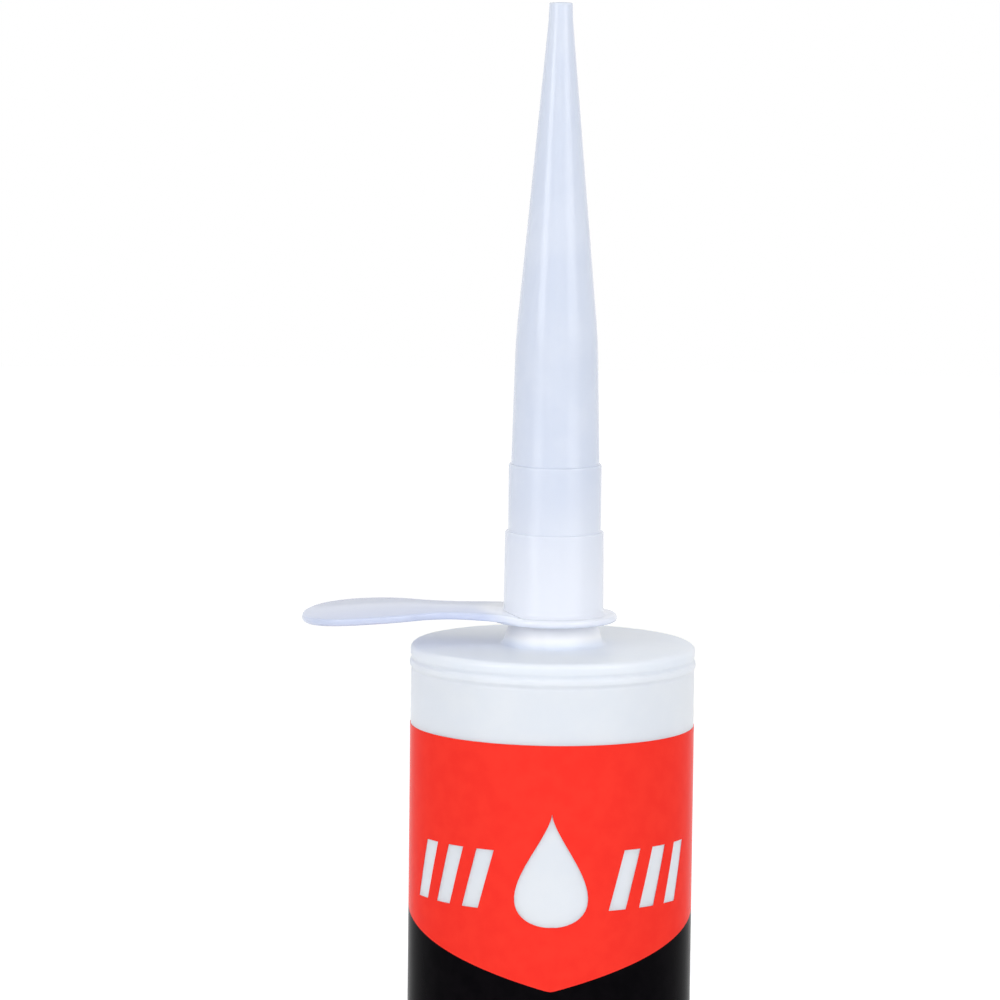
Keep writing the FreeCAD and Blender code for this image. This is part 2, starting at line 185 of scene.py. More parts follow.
def turning_tree():
    """Geometry Nodes: turn an outline, stored as points (radius, 0, height), about Z."""
    tree, source, target = new_tree(
        "Turned shell",
        "GeometryNodeTree",
        [
            ("Outline", "NodeSocketGeometry", None),
            ("Segments", "NodeSocketInt", 128),
            ("Material", "NodeSocketMaterial", None),
        ],
        [("Shell", "NodeSocketGeometry")],
    )
    outline = source.outputs["Outline"]
    count = add_node(tree, "GeometryNodeAttributeDomainSize", Geometry=outline).outputs[0]
    columns = calculate(tree, "ADD", source.outputs["Segments"], 1.0)
    grid = add_node(
        tree, "GeometryNodeMeshGrid", Size_X=1.0, Size_Y=1.0, Vertices_X=columns, Vertices_Y=count
    )
    position = tree.nodes.new("GeometryNodeInputPosition").outputs[0]
    place = add_node(tree, "ShaderNodeSeparateXYZ", Vector=position)
    across = calculate(tree, "ADD", place.outputs["X"], 0.5)
    angle = calculate(tree, "MULTIPLY", across, math.tau)
    last_row = calculate(tree, "SUBTRACT", count, 1.0)
    row_share = calculate(tree, "ADD", place.outputs["Y"], 0.5)
    row = calculate(tree, "ROUND", calculate(tree, "MULTIPLY", row_share, last_row))
    lookup = tree.nodes.new("GeometryNodeSampleIndex")
    lookup.data_type = "FLOAT_VECTOR"
    connect(tree, lookup, "Geometry", outline)
    connect(tree, lookup, "Value", position)
    connect(tree, lookup, "Index", row)
    corner = add_node(tree, "ShaderNodeSeparateXYZ", Vector=lookup.outputs[0])
    radius = corner.outputs["X"]
    bent = add_node(
        tree,
        "ShaderNodeCombineXYZ",
        X=calculate(tree, "MULTIPLY", radius, calculate(tree, "COSINE", angle)),
        Y=calculate(tree, "MULTIPLY", radius, calculate(tree, "SINE", angle)),
        Z=corner.outputs["Z"],
    )
    shell = add_node(
        tree, "GeometryNodeSetPosition", Geometry=grid.outputs["Mesh"], Position=bent.outputs[0]
    )
    closed = add_node(
        tree, "GeometryNodeMergeByDistance", Geometry=shell.outputs[0], Distance=MERGE_DISTANCE
    )
    finish_geometry(tree, closed.outputs[0], source, target)
    return tree


TURNED_SHELL = turning_tree()
print("turning tree:", len(TURNED_SHELL.nodes), "nodes")


# %% From modifier to finished mesh
SHARP_ANGLE = math.radians(32)


def new_object(name, mesh):
    """Put a mesh in the scene as an object at the origin."""
    thing = bpy.data.objects.new(name, mesh)
    bpy.context.scene.collection.objects.link(thing)
    return thing


def set_inputs(modifier, **values):
    """Set a Geometry Nodes modifier's inputs, found by name and set by identifier."""
    for item in modifier.node_group.interface.items_tree:
        name = item.name.replace(" ", "_")
        if item.in_out == "INPUT" and name in values:
            modifier[item.identifier] = values[name]


def settle(thing):
    """Turn an object with modifiers into a plain mesh, and remove the modifiers."""
    bpy.context.view_layer.update()
    evaluated = thing.evaluated_get(bpy.context.evaluated_depsgraph_get())
    mesh = bpy.data.meshes.new_from_object(evaluated)
    mesh.name = thing.name
    thing.modifiers.clear()
    thing.data = mesh


def make_sound(thing):
    """Merge doubles, drop loose edges, face everything outwards, smooth the curves."""
    work = bmesh.new()
    work.from_mesh(thing.data)
    bmesh.ops.remove_doubles(work, verts=work.verts, dist=MERGE_DISTANCE)
    bmesh.ops.dissolve_degenerate(work, edges=work.edges, dist=MERGE_DISTANCE)
    loose = [edge for edge in work.edges if not edge.link_faces]
    bmesh.ops.delete(work, geom=loose, context="EDGES")
    bmesh.ops.recalc_face_normals(work, faces=work.faces)
    open_edges = sum(1 for edge in work.edges if len(edge.link_faces) != 2)
    volume = work.calc_volume(signed=True) / MM**3
    work.to_mesh(thing.data)
    work.free()
    thing.data.shade_smooth()
    thing.data.set_sharp_from_angle(angle=SHARP_ANGLE)
    count = len(thing.data.polygons)
    print(f"{thing.name}: {count} faces, {open_edges} open edges, {volume:.0f} mm3")


def turned(name, corners, segments, material):
    """Make a round piece from the corners of its outline, in millimetres."""
    points = rounded_outline(corners)
    mesh = bpy.data.meshes.new(name)
    loop = points + points[:1]
    rows = [(radius * MM, 0.0, height * MM) for radius, height in loop]
    mesh.from_pydata(rows, [(step, step + 1) for step in range(len(rows) - 1)], [])
    thing = new_object(name, mesh)
    modifier = thing.modifiers.new("Turned shell", "NODES")
    modifier.node_group = TURNED_SHELL
    set_inputs(modifier, Segments=segments, Material=material)
    settle(thing)
    make_sound(thing)
    return thing


def place_piece(thing, body, slot, *nodes):
    """Let a finished piece ride its body and stand for its CAD nodes; the slot is not used."""
    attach(thing, body)
    if nodes:
        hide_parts(*nodes)


# %% [markdown]
# ## Moulded plastic
#
# Natural polyethylene is milky and a little blue. Light goes in, scatters and comes out again, so
# the Principled BSDF gets some subsurface scattering. Its surface is never even: the melt cools in
# faint clouds, and the mould leaves a fine grain. Barrel, nozzle and piston all show this, so the
# clouds and the grain live in one shared node group, placed in each material with its own values.
# The barrel's neck and its collar are thick and full of paste, so they look whiter than the wall.
# The whitening is also painted light, lifting the collar out of the shade under the flange.

# %% Moulded skin group
CLOUD_SHARE = 0.7
GRAIN_SHARE = 0.3


def noise(tree, place, scale, detail, **sockets):
    """Add a Noise Texture and return its factor."""
    sockets.update(Vector=place, Scale=scale, Detail=detail)
    return add_node(tree, "ShaderNodeTexNoise", **sockets).outputs["Fac"]


def moulded_skin_group():
    """Shader group: cloudy tone, uneven roughness and a height for the bump."""
    tree, source, target = new_tree(
        "Moulded skin",
        "ShaderNodeTree",
        [
            ("Vector", "NodeSocketVector", None),
            ("Cloud Scale", "NodeSocketFloat", 90.0),
            ("Grain Scale", "NodeSocketFloat", 2500.0),
            ("Base Roughness", "NodeSocketFloat", 0.3),
            ("Roughness Spread", "NodeSocketFloat", 0.08),
        ],
        [
            ("Clouds", "NodeSocketFloat"),
            ("Roughness", "NodeSocketFloat"),
            ("Height", "NodeSocketFloat"),
        ],
    )
    place = source.outputs["Vector"]
    clouds = noise(tree, place, source.outputs["Cloud Scale"], 3.0, Roughness=0.55)
    grain = noise(tree, place, source.outputs["Grain Scale"], 2.0, Roughness=0.6)
    centred = calculate(tree, "SUBTRACT", clouds, 0.5)
    spread = calculate(tree, "MULTIPLY", centred, source.outputs["Roughness Spread"])
    uneven = calculate(tree, "ADD", source.outputs["Base Roughness"], spread)
    coarse = calculate(tree, "MULTIPLY", clouds, CLOUD_SHARE)
    fine = calculate(tree, "MULTIPLY", grain, GRAIN_SHARE)
    tree.links.new(clouds, target.inputs["Clouds"])
    tree.links.new(uneven, target.inputs["Roughness"])
    tree.links.new(calculate(tree, "ADD", coarse, fine), target.inputs["Height"])
    return tree


MOULDED_SKIN = moulded_skin_group()
print("moulded skin:", len(MOULDED_SKIN.nodes), "nodes")


# %% Material helpers
def new_material(name):
    """Make a node material, and return it with its tree and its Principled BSDF."""
    material = bpy.data.materials.new(name)
    material.use_nodes = True
    return material, material.node_tree, material.node_tree.nodes["Principled BSDF"]


def mix_colours(tree, factor, first, second):
    """Blend two colours by a factor."""
    node = tree.nodes.new("ShaderNodeMix")
    node.data_type = "RGBA"
    tree.links.new(factor, node.inputs["Factor"])
    connect(tree, node, "6", first)
    connect(tree, node, "7", second)
    return node.outputs[2]


def ramp(tree, value, start, end):
    """Rise smoothly from 0 to 1 as a value goes from start to end."""
    node = add_node(tree, "ShaderNodeMapRange", Value=value)
    node.interpolation_type = "SMOOTHSTEP"
    connect(tree, node, "From Min", start)
    connect(tree, node, "From Max", end)
    return node.outputs[0]


def between(tree, value, low, high):
    """Spread a value of 0 to 1 evenly from a low one to a high one."""
    node = add_node(tree, "ShaderNodeMapRange", Value=value)
    connect(tree, node, "To Min", low)
    connect(tree, node, "To Max", high)
    return node.outputs[0]


def object_place(tree):
    """Where a point lies on the piece itself, so that a pattern moves with the piece."""
    return tree.nodes.new("ShaderNodeTexCoord").outputs["Object"]


def two_tones(tree, shader, pattern, deep, pale, start=0.3, end=0.7):
    """Colour a shader from a deep tone to a pale one as a pattern goes from start to end."""
    tone = ramp(tree, pattern, start, end)
    connect(tree, shader, "Base Color", mix_colours(tree, tone, deep, pale))


def tint(tree, shader, mask, colour):
    """Lay another colour over a shader's own, as far as a mask goes."""
    own = shader.inputs["Base Color"].links[0].from_socket
    connect(tree, shader, "Base Color", mix_colours(tree, mask, own, colour))


def roughen(tree, shader, height, strength, depth):
    """Give a shader a bump that is so many millimetres deep."""
    bump = add_node(tree, "ShaderNodeBump", Strength=strength, Distance=depth * MM, Height=height)
    connect(tree, shader, "Normal", bump.outputs[0])


# %% Plastic materials
PLASTIC_IOR = 1.5
SKIN_STRENGTH = 0.6
SKIN_DEPTH = 0.02
SCATTER_DEPTH = 1.2
BARREL_SCATTER_DEPTH = 2.4
WHITE_FROM = BARREL_HEIGHT + 0.3
WHITE_ABOVE = BARREL_HEIGHT + 2.0


def plastic(name, deep, pale, scatter, **values):
    """Milky plastic between a deep and a pale tone, with the moulded skin's own values."""
    material, tree, shader = new_material(name)
    place = object_place(tree)
    skin = tree.nodes.new("ShaderNodeGroup")
    skin.node_tree = MOULDED_SKIN
    connect(tree, skin, "Vector", place)
    for label, value in values.items():
        connect(tree, skin, label.replace("_", " "), value)
    connect(tree, shader, "Roughness", skin.outputs["Roughness"])
    roughen(tree, shader, skin.outputs["Height"], SKIN_STRENGTH, SKIN_DEPTH)
    two_tones(tree, shader, skin.outputs["Clouds"], deep, pale)
    connect(tree, shader, "IOR", PLASTIC_IOR)
    connect(tree, shader, "Subsurface Weight", scatter)
    connect(tree, shader, "Subsurface Radius", (1.0, 1.0, 1.0))
    connect(tree, shader, "Subsurface Scale", SCATTER_DEPTH * MM)
    return material, tree, shader, place


BARREL_PLASTIC, tree, shader, place = plastic(
    "barrel_polyethylene",
    (0.79, 0.84, 0.965, 1.0),
    (0.82, 0.865, 0.98, 1.0),
    0.75,
    Base_Roughness=0.34,
)
connect(tree, shader, "Subsurface Scale", BARREL_SCATTER_DEPTH * MM)
# Painted light: the collar, neck and thread are tinted whiter, partly for the paste inside and
# partly to lift the collar out of the shade under the nozzle's flange.
level = add_node(tree, "ShaderNodeSeparateXYZ", Vector=place).outputs["Z"]
neck_paste_and_painted_light = ramp(tree, level, WHITE_FROM * MM, WHITE_ABOVE * MM)
tint(tree, shader, neck_paste_and_painted_light, (0.94, 0.95, 0.965, 1.0))
PISTON_PLASTIC, *_ = plastic(
    "piston_polyethylene",
    (0.78, 0.79, 0.8, 1.0),
    (0.83, 0.84, 0.85, 1.0),
    0.25,
    Base_Roughness=0.42,
)
print("plastics:", BARREL_PLASTIC.name, PISTON_PLASTIC.name)

# %% [markdown]
# ## The barrel
#
# The real barrel is one moulding: a tube with a small lead-in at the open end, and in front a
# shoulder disc with a stepped rim, two shallow grooves with a bead between them, a low collar and
# the neck. It is round everywhere, so its outline is turned, with the small rounds in the outline.

# %% Barrel
BARREL_SEGMENTS = 180
EDGE = 0.5
RIM_ROUND = 0.9
COLLAR_FOOT = 8.95
COLLAR_TOP = 7.6
COLLAR_FILLET = 1.0
RIM = BARREL_RADIUS + 0.1
BEAD = BARREL_RADIUS + 0.25
GROOVE = BARREL_RADIUS - 0.25
LOWER_GROOVE = BARREL_RADIUS - 0.12
RIM_FOOT = BARREL_HEIGHT - 1.9
RAMP = 0.5
BEAD_HEIGHT = 0.8
LEAD_IN = BORE + 0.2
LEAD_IN_DEPTH = 14.0
LEAD_IN_TAPER = 1.5
NECK_CORE = NECK_CREST - THREAD_DEPTH
MEMBRANE = 0.8

groove = RIM_FOOT - RAMP
bead_top = groove - RAMP
bead_foot = bead_top - BEAD_HEIGHT
lower_groove = bead_foot - RAMP
wall_top = lower_groove - RAMP

barrel = turned(
    "barrel_shell",
    [
        (BARREL_RADIUS, 0.0, 0.3),
        (BARREL_RADIUS, wall_top, EDGE),
        (LOWER_GROOVE, lower_groove, EDGE),
        (BEAD, bead_foot, EDGE),
        (BEAD, bead_top, EDGE),
        (GROOVE, groove, EDGE),
        (RIM, RIM_FOOT, EDGE),
        (RIM, BARREL_HEIGHT, RIM_ROUND),
        (COLLAR_FOOT, BARREL_HEIGHT, COLLAR_FILLET),
        (COLLAR_TOP, SEAT, 0.2),
        (NECK_CORE, SEAT, 0.1),
        (NECK_CORE, NECK_TOP, 0.5),
        (AXIS, NECK_TOP, 0),
        (AXIS, NECK_TOP - MEMBRANE, 0),
        (NECK_BORE, NECK_TOP - MEMBRANE, 0.3),
        (NECK_BORE, UNDERSIDE, 0.4),
        (BORE, UNDERSIDE, 1.0),
        (BORE, LEAD_IN_DEPTH + LEAD_IN_TAPER, 0),
        (LEAD_IN, LEAD_IN_DEPTH, 0),
        (LEAD_IN, 0.0, 0.2),
    ],
    BARREL_SEGMENTS,
    BARREL_PLASTIC,
)
place_piece(barrel, "barrel", "barrel_plastic", "barrel")

# %% [markdown]
# ## The neck's thread
#
# The nozzle screws on a rounded ridge that climbs round the neck. It follows a path, so Geometry
# Nodes draw a spiral and sweep a small circle along it. The circle shrinks towards both ends of
# the spiral, as the run-out of a moulded thread does.

# %% Neck thread
RUN_OUT = 0.12
FINEST_END = 0.05


def thread_tree():
    """Geometry Nodes: a ridge of round section that climbs round the Z axis."""
    tree, source, target = new_tree(
        "Neck thread",
        "GeometryNodeTree",
        [
            ("Geometry", "NodeSocketGeometry", None),
            ("Turns", "NodeSocketFloat", 3.5),
            ("Path Radius", "NodeSocketFloat", 6.5 * MM),
            ("Climb", "NodeSocketFloat", 9.0 * MM),
            ("Foot", "NodeSocketFloat", 220.0 * MM),
            ("Ridge Radius", "NodeSocketFloat", 0.55 * MM),
            ("Material", "NodeSocketMaterial", None),
        ],
        [("Thread", "NodeSocketGeometry")],
    )
    spiral = add_node(
        tree,
        "GeometryNodeCurveSpiral",
        Resolution=72,
        Rotations=source.outputs["Turns"],
        Start_Radius=source.outputs["Path Radius"],
        End_Radius=source.outputs["Path Radius"],
        Height=source.outputs["Climb"],
    )
    share = tree.nodes.new("GeometryNodeSplineParameter").outputs["Factor"]
    run_in = ramp(tree, share, 0.0, RUN_OUT)
    run_out = ramp(tree, share, 1.0, 1.0 - RUN_OUT)
    size = calculate(tree, "MULTIPLY", run_in, run_out)
    size = calculate(tree, "MAXIMUM", size, FINEST_END)
    section = add_node(
        tree,
        "GeometryNodeCurvePrimitiveCircle",
        Resolution=10,
        Radius=source.outputs["Ridge Radius"],
    )
    sweep = add_node(
        tree,
        "GeometryNodeCurveToMesh",
        Curve=spiral.outputs[0],
        Profile_Curve=section.outputs[0],
        Scale=size,
        Fill_Caps=True,
    )
    lift = add_node(tree, "ShaderNodeCombineXYZ", Z=source.outputs["Foot"])
    raised = add_node(
        tree, "GeometryNodeTransform", Geometry=sweep.outputs[0], Translation=lift.outputs[0]
    )
    finish_geometry(tree, raised.outputs[0], source, target)
    return tree


RIDGE = 0.55
THREAD_START = 2.4
THREAD_CLIMB = 8.75

thread = new_object("neck_thread", bpy.data.meshes.new("neck_thread"))
modifier = thread.modifiers.new("Neck thread", "NODES")
modifier.node_group = thread_tree()
set_inputs(
    modifier,
    Path_Radius=(NECK_CREST - RIDGE) * MM,
    Climb=THREAD_CLIMB * MM,
    Foot=(SEAT + THREAD_START) * MM,
    Ridge_Radius=RIDGE * MM,
    Material=BARREL_PLASTIC,
)
settle(thread)
make_sound(thread)
place_piece(thread, "barrel", "barrel_plastic")

# %% [markdown]
# ## The nozzle's plastic
#
# The nozzle is thinner than the barrel and hollow above the neck, so it looks a shade greyer
# there. Where the neck stands behind the lower collar the wall looks whiter, and the flat blade,
# with nothing behind it, is the bluest. The changes could be painted or set per face. Object
# coordinates stay with the piece, so smooth steps along the height and the distance from the axis
# place them once, and they move with the nozzle.

# %% Nozzle material
NECK_SHOWS_TO = NECK_TOP + 15.0
NECK_SHOWS_FROM = NECK_TOP - 11.0
BLADE_STARTS = 11.0
BLADE_FULL = 15.0

NOZZLE_PLASTIC, tree, shader, place = plastic(
    "nozzle_polyethylene",
    (0.655, 0.71, 0.835, 1.0),
    (0.69, 0.74, 0.855, 1.0),
    0.3,
    Base_Roughness=0.2,
    Roughness_Spread=0.06,
    Cloud_Scale=110.0,
)
spot = add_node(tree, "ShaderNodeSeparateXYZ", Vector=place)
east = calculate(tree, "POWER", spot.outputs["X"], 2.0)
north = calculate(tree, "POWER", spot.outputs["Y"], 2.0)
from_axis = calculate(tree, "SQRT", calculate(tree, "ADD", east, north))
backed = ramp(tree, spot.outputs["Z"], NECK_SHOWS_TO * MM, NECK_SHOWS_FROM * MM)
on_blade = ramp(tree, from_axis, BLADE_STARTS * MM, BLADE_FULL * MM)
tint(tree, shader, backed, (0.805, 0.835, 0.915, 1.0))
tint(tree, shader, on_blade, (0.605, 0.66, 0.835, 1.0))
print("nozzle plastic turns whiter below", NECK_SHOWS_TO, "mm")

# %% [markdown]
# ## The nozzle's stem
#
# From the bottom up: a thin flange, a lower and an upper collar that hide the thread, a slightly
# tapered sleeve, and the long cone that the user cuts to size. A 100 mm blend softens the corner
# between sleeve and cone. The stem is round, so it is turned like the barrel.

# %% Nozzle stem
STEM_SEGMENTS = 144
FLANGE_RADIUS = 11.2
FLANGE = 1.3
FLANGE_EDGE = 0.55
LOWER_COLLAR = 15.9
LOWER_COLLAR_FOOT = 8.83
LOWER_COLLAR_TOP = 8.68
UPPER_COLLAR = 11.9
UPPER_COLLAR_RADIUS = 8.17
COLLAR_EDGE = 0.35
COLLAR_STEP = 0.12
SLEEVE = 21.9
SLEEVE_FOOT = 7.75
SLEEVE_TOP = 7.22
SLEEVE_WALL = 1.3
CONE = 55.8
CONE_BLEND = 100.0
CONE_TOP = 2.15
BORE_BLEND = 30.0
TIP = 3.2
TIP_RADIUS = 2.03
SOCKET = NECK_CREST + 0.15
HEAD_ROOM = 1.2
OUTLET = 1.35

flange_top = SEAT + FLANGE
lower_collar_top = SEAT + LOWER_COLLAR
upper_collar_top = lower_collar_top + UPPER_COLLAR
sleeve_top = upper_collar_top + SLEEVE
cone_top = sleeve_top + CONE
tip_top = cone_top + TIP
sleeve_bore = SLEEVE_TOP - SLEEVE_WALL

stem = turned(
    "nozzle_stem",
    [
        (SOCKET, SEAT, 0.3),
        (FLANGE_RADIUS, SEAT, FLANGE_EDGE),
        (FLANGE_RADIUS, flange_top, FLANGE_EDGE),
        (LOWER_COLLAR_FOOT, flange_top, 0.9),
        (LOWER_COLLAR_TOP, lower_collar_top, COLLAR_EDGE),
        (UPPER_COLLAR_RADIUS, lower_collar_top, COLLAR_STEP),
        (UPPER_COLLAR_RADIUS, upper_collar_top, COLLAR_EDGE),
        (SLEEVE_FOOT, upper_collar_top, COLLAR_STEP),
        (SLEEVE_TOP, sleeve_top, CONE_BLEND),
        (CONE_TOP, cone_top, 1.0),
        (TIP_RADIUS, tip_top, 0.2),
        (OUTLET, tip_top, 0.1),
        (OUTLET, cone_top, 1.0),
        (sleeve_bore, sleeve_top, BORE_BLEND),
        (sleeve_bore, NECK_TOP + HEAD_ROOM, 0.3),
        (SOCKET, NECK_TOP + HEAD_ROOM, 0.3),
    ],
    STEM_SEGMENTS,
    NOZZLE_PLASTIC,
)
nozzle_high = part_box("nozzle")[1]
print("nozzle: tip at", round(tip_top, 2), "mm, CAD", round(nozzle_high.z / MM, 2), "mm")

# %% [markdown]
# ## The spatula
#
# A flat blade for smoothing the bead grows out of the flange: a waist, then a round-ended blade,
# bowed gently from root to tip. Its plan is a chain of arcs that run smoothly into each other. The
# outline is drawn flat with a rounded edge, cut across in narrow strips, and then bowed strip by
# strip, so the faces stay flat while the blade bends.

# %% Spatula outline
REACH = 44.3
ROOT_PLACE = 5.0
ROOT_HALF_WIDTH = 9.6
WAIST_PLACE = 17.0
WAIST_HALF_WIDTH = 7.3
WAIST_RADIUS = 12.0
BLADE_SETBACK = 9.8
BLADE_HALF_WIDTH = 12.9
CORNER_MARGIN = 0.8
OUTLINE_STEP = 0.45


def arc_points(centre, start, end):
    """Points on the shorter arc about a centre, from start up to but not including end."""
    first = start - centre
    begin = math.atan2(first.y, first.x)
    last = end - centre
    turn = math.remainder(math.atan2(last.y, last.x) - begin, math.tau)
    radius = first.length
    steps = max(2, math.ceil(abs(turn) * radius / OUTLINE_STEP))
    angles = [begin + turn * step / steps for step in range(steps)]
    return [centre + Vector((math.cos(angle), math.sin(angle))) * radius for angle in angles]


def spatula_side():
    """One side of the spatula from its root to the middle of its tip."""
    blade_place = REACH - BLADE_SETBACK
    corner_radius = BLADE_SETBACK - CORNER_MARGIN
    widening = BLADE_HALF_WIDTH - WAIST_HALF_WIDTH
    run = blade_place - WAIST_PLACE
    side_radius = (run**2 + widening**2) / (2 * widening) - WAIST_RADIUS
    corner_height = BLADE_HALF_WIDTH - corner_radius
    tip_radius = (BLADE_SETBACK**2 + corner_height**2 - corner_radius**2) / (2 * CORNER_MARGIN)
    root = Vector((ROOT_PLACE, ROOT_HALF_WIDTH))
    waist_centre = Vector((WAIST_PLACE, WAIST_HALF_WIDTH + WAIST_RADIUS))
    side_centre = Vector((blade_place, BLADE_HALF_WIDTH - side_radius))
    corner_centre = Vector((blade_place, corner_height))
    tip_centre = Vector((REACH - tip_radius, 0.0))
    sight = waist_centre - root
    tangent = math.sqrt(sight.length**2 - WAIST_RADIUS**2)
    heading = math.atan2(sight.y, sight.x) - math.asin(WAIST_RADIUS / sight.length)
    waist_start = root + Vector((math.cos(heading), math.sin(heading))) * tangent
    waist_end = waist_centre + (side_centre - waist_centre).normalized() * WAIST_RADIUS
    widest = Vector((blade_place, BLADE_HALF_WIDTH))
    corner_end = tip_centre + (corner_centre - tip_centre).normalized() * tip_radius
    points = [root]
    points += arc_points(waist_centre, waist_start, waist_end)
    points += arc_points(side_centre, waist_end, widest)
    points += arc_points(corner_centre, widest, corner_end)
    points += arc_points(tip_centre, corner_end, Vector((REACH, 0.0)))
    return points


upper_side = spatula_side()
lower_side = [Vector((point.x, -point.y)) for point in upper_side]
spatula_outline = upper_side + [Vector((REACH, 0.0))] + lower_side[::-1]
print("spatula outline:", len(spatula_outline), "points")

# %% Mesh helpers
def band(work, first, second):
    """Join two rings of vertices with a band of faces."""
    for index in range(len(first)):
        following = (index + 1) % len(first)
        work.faces.new((first[index], first[following], second[following], second[index]))


def cut_across(work, place):
    """Cut every face where X is at a place, and keep both sides."""
    everything = list(work.verts) + list(work.edges) + list(work.faces)
    cut_at = (place, 0.0, 0.0)
    bmesh.ops.bisect_plane(work, geom=everything, plane_co=cut_at, plane_no=(1.0, 0.0, 0.0))


def mesh_object(name, work, *materials):
    """Make a finished bmesh an object of the scene."""
    mesh = bpy.data.meshes.new(name)
    work.to_mesh(mesh)
    work.free()
    for material in materials:
        mesh.materials.append(material)
    return new_object(name, mesh)


# %% Spatula blade
SPATULA = 1.3
EDGE_ROUND = 0.4
EDGE_STEPS = 3
STRIP = 1.1
RISE = 0.88
BOW_RADIUS = 230.0
BOW_PLACE = 19.5
RAMP_PLACE = 9.0


def bow(distance):
    """Height of the blade's middle above the flange's, at a distance from the axis."""
    along = max(distance, RAMP_PLACE) - BOW_PLACE
    height = RISE + math.sqrt(BOW_RADIUS**2 - along**2) - BOW_RADIUS
    if distance >= RAMP_PLACE:
        return height
    share = max(0.0, (distance - ROOT_PLACE) / (RAMP_PLACE - ROOT_PLACE))
    return height * share**2 * (3 - 2 * share)


def inset_outline(points, inset):
    """Move every point of a closed outline inwards by the same distance."""
    moved = []
    for index, point in enumerate(points):
        along = points[(index + 1) % len(points)] - points[index - 1]
        inward = Vector((along.y, -along.x)).normalized()
        moved.append(point + inward * inset)
    return moved


def spatula_rings():
    """Rings of the rounded edge, from the rim of the lower face to that of the upper face."""
    rings = []
    half = SPATULA / 2
    flat = half - EDGE_ROUND
    for side in (-1, 1):
        for step in range(EDGE_STEPS + 1):
            angle = math.radians(90) / EDGE_STEPS * (EDGE_STEPS - step if side < 0 else step)
            inset = EDGE_ROUND * (1 - math.cos(angle))
            level = side * (flat + EDGE_ROUND * math.sin(angle))
            rings.append((inset_outline(spatula_outline, inset), level))
    return rings


def make_spatula():
    """Build the flat blade, cut it in strips and bow it."""
    middle = SEAT + FLANGE / 2
    work = bmesh.new()
    rings = []
    for outline, level in spatula_rings():
        rings.append([work.verts.new((-point.x, point.y, level)) for point in outline])
    for below, above in zip(rings, rings[1:]):
        band(work, below, above)
    work.faces.new(rings[0])
    work.faces.new(rings[-1])
    place = ROOT_PLACE + STRIP
    while place < REACH:
        cut_across(work, -place)
        place += STRIP
    for vertex in work.verts:
        vertex.co.z += middle + bow(-vertex.co.x)
        vertex.co *= MM
    blade = mesh_object("spatula", work, NOZZLE_PLASTIC)
    make_sound(blade)
    return blade


spatula = make_spatula()

# %% Nozzle in one piece
def unite(thing, other):
    """Weld a second closed mesh into the first, as the mould does."""
    weld = thing.modifiers.new("Weld", "BOOLEAN")
    weld.operation = "UNION"
    weld.solver = "EXACT"
    weld.object = other
    settle(thing)
    bpy.data.objects.remove(other)
    make_sound(thing)


unite(stem, spatula)
nozzle = stem
nozzle.name = "nozzle_moulding"
place_piece(nozzle, "nozzle", "nozzle_plastic", "nozzle")

# %% [markdown]
# ## The piston
#
# Seen through the open rear end, the piston is a thin cup with two wiping lips, and ribs that run
# from a centre boss to the skirt. The cup is turned. One rib is made from listed corners, and
# Geometry Nodes repeat it round the axis. Both are welded into one moulding.

# %% Piston cup
PISTON_SEGMENTS = 144
PISTON_PLACE = 16.0
PISTON_HEIGHT = 16.0
LIP = BORE - 0.05
LIP_STEP = 0.35
SKIRT = LIP - LIP_STEP
SKIRT_INSIDE = SKIRT - 1.3
LIP_HEIGHT = 1.1
LAND = SKIRT - 4.0
CROWN_RADIUS = 18.4
CROWN_RISE = 0.8
CROWN_WALL = 1.5
BOSS = 4.5
RIB_INSET = 3.0

land_top = PISTON_PLACE + PISTON_HEIGHT
crown_top = land_top + CROWN_RISE
under_land = land_top - CROWN_WALL
boss_foot = PISTON_PLACE + RIB_INSET

piston = turned(
    "piston_cup",
    [
        (AXIS, crown_top, 0),
        (CROWN_RADIUS, crown_top, 0.4),
        (LAND, land_top, 0.3),
        (LIP, land_top, 0.2),
        (LIP, land_top - LIP_HEIGHT, 0.1),
        (SKIRT, land_top - LIP_HEIGHT - LIP_STEP, 0.15),
        (SKIRT, PISTON_PLACE + LIP_HEIGHT, 0.5),
        (LIP, PISTON_PLACE, 0.15),
        (SKIRT_INSIDE, PISTON_PLACE, 0.4),
        (SKIRT_INSIDE, under_land, 0.8),
        (BOSS, under_land, 0.5),
        (BOSS, boss_foot, 0.3),
        (AXIS, boss_foot, 0),
    ],
    PISTON_SEGMENTS,
    PISTON_PLASTIC,
)

# %% Piston ribs
RIB_ROOT = 3.3
RIB_THICKNESS = 1.2
RIB_OVERLAP = 0.35
RIB_COUNT = 6


def ring_tree():
    """Geometry Nodes: repeat the incoming rib evenly round the Z axis."""
    tree, source, target = new_tree(
        "Ring of ribs",
        "GeometryNodeTree",
        [
            ("Rib", "NodeSocketGeometry", None),
            ("Count", "NodeSocketInt", 6),
            ("Material", "NodeSocketMaterial", None),
        ],
        [("Ribs", "NodeSocketGeometry")],
    )
    spots = add_node(tree, "GeometryNodePoints", Count=source.outputs["Count"])
    number = tree.nodes.new("GeometryNodeInputIndex").outputs[0]
    share = calculate(tree, "DIVIDE", number, source.outputs["Count"])
    turn = add_node(tree, "ShaderNodeCombineXYZ", Z=calculate(tree, "MULTIPLY", share, math.tau))
    ring = add_node(
        tree,
        "GeometryNodeInstanceOnPoints",
        Points=spots.outputs[0],
        Instance=source.outputs["Rib"],
        Rotation=turn.outputs[0],
    )
    finish_geometry(tree, ring.outputs[0], source, target)
    return tree


